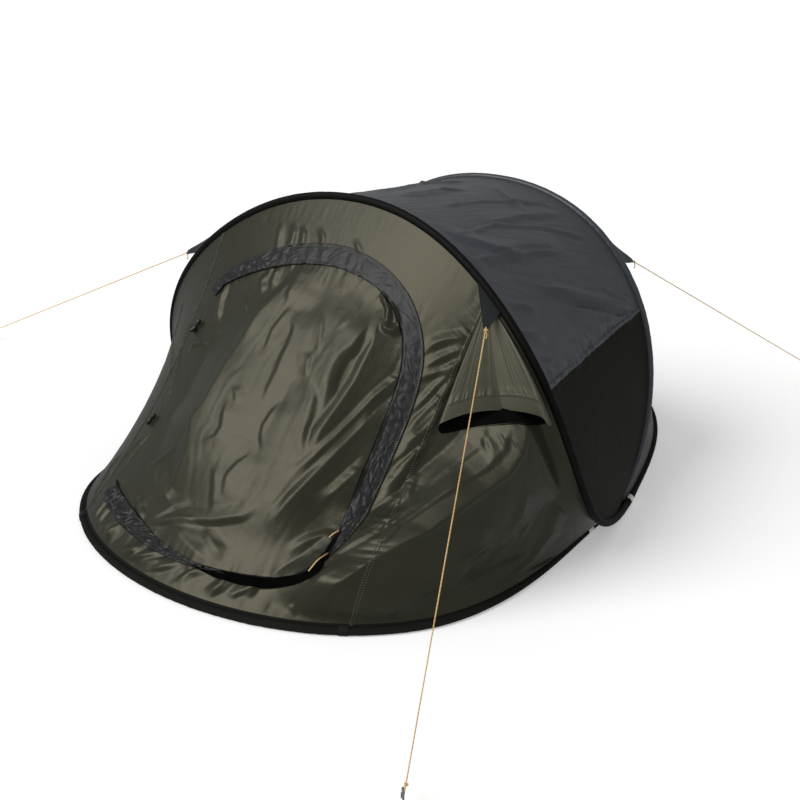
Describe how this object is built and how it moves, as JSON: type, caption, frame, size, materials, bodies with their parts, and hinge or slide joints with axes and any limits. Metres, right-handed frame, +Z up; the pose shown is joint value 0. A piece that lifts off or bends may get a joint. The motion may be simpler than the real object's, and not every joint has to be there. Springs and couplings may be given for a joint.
{
  "type": "two-person pop-up tent",
  "caption": "Low pop-up tent on two crossing hoops, with a zipped front door that turns on its sewn side, hooded vent, guy lines and pegs.",
  "frame": {"origin": "middle of the tent between the hoop crossings, on the underside of the groundsheet at ground level", "axes": "+Z up, door side towards -Y, +X to the right of someone inside looking back from the door, which is the right side in a front view"},
  "size_m": [3.328, 3.1544, 0.9889],
  "materials": {
    "olive_polyester": "coated ripstop polyester, satin",
    "dark_olive_polyester": "coated polyester, satin",
    "slate_polyester": "coated polyester, satin sheen",
    "black_polyester": "coated polyester, satin",
    "charcoal_polyester": "coated polyester, satin",
    "black_binding": "woven binding tape",
    "black_mesh": "fine knitted insect mesh",
    "groundsheet_film": "woven polyethylene sheet, satin",
    "black_webbing": "flat webbing",
    "guy_rope": "braided line",
    "peg_steel": "plated wire",
    "black_plastic": "moulded, matt",
    "pale_tape": "bare woven tape"
  },
  "bodies": {
    "tent": {"front_centre_panel": "olive_polyester", "front_vent_hood": "olive_polyester", "rear_centre_panel": "olive_polyester", "front_left_panel": "dark_olive_polyester", "front_right_panel": "dark_olive_polyester", "rear_left_panel": "dark_olive_polyester", "rear_right_panel": "dark_olive_polyester", "roof_panel": "slate_polyester", "left_side_panel": "black_polyester", "right_side_panel": "black_polyester", "storm_flap": "charcoal_polyester", "front_ground_sleeve": "black_binding", "rear_ground_sleeve": "black_binding", "front_arch_sleeve": "black_binding", "rear_arch_sleeve": "black_binding", "front_vent_mesh": "black_mesh", "groundsheet": "groundsheet_film", "guy_patch_front_right": "black_webbing", "guy_patch_front_left": "black_webbing", "guy_patch_rear_right": "black_webbing", "guy_patch_rear_left": "black_webbing", "peg_loop_front_right": "black_webbing", "peg_loop_front_left": "black_webbing", "peg_loop_rear_right": "black_webbing", "peg_loop_rear_left": "black_webbing", "guy_rope_front_right": "guy_rope", "guy_rope_front_left": "guy_rope", "guy_rope_rear_right": "guy_rope", "guy_rope_rear_left": "guy_rope", "peg_front_right": "peg_steel", "peg_front_left": "peg_steel", "peg_rear_right": "peg_steel", "peg_rear_left": "peg_steel", "door_zip": "black_plastic", "door_toggle_upper": "black_plastic", "door_toggle_lower": "black_plastic", "sewn_tag_front": "pale_tape", "sewn_tag_rear": "pale_tape"},
    "door": {"door_leaf": "olive_polyester"}
  },
  "joints": [
    {"name": "door_turn", "type": "hinge", "parent": "tent", "child": "door", "pos_m": [-0.4577, -1.00839, 0.12177], "axis": [-0.0269, -0.6591, -0.7515], "range_deg": [0, 110]}
  ]
}
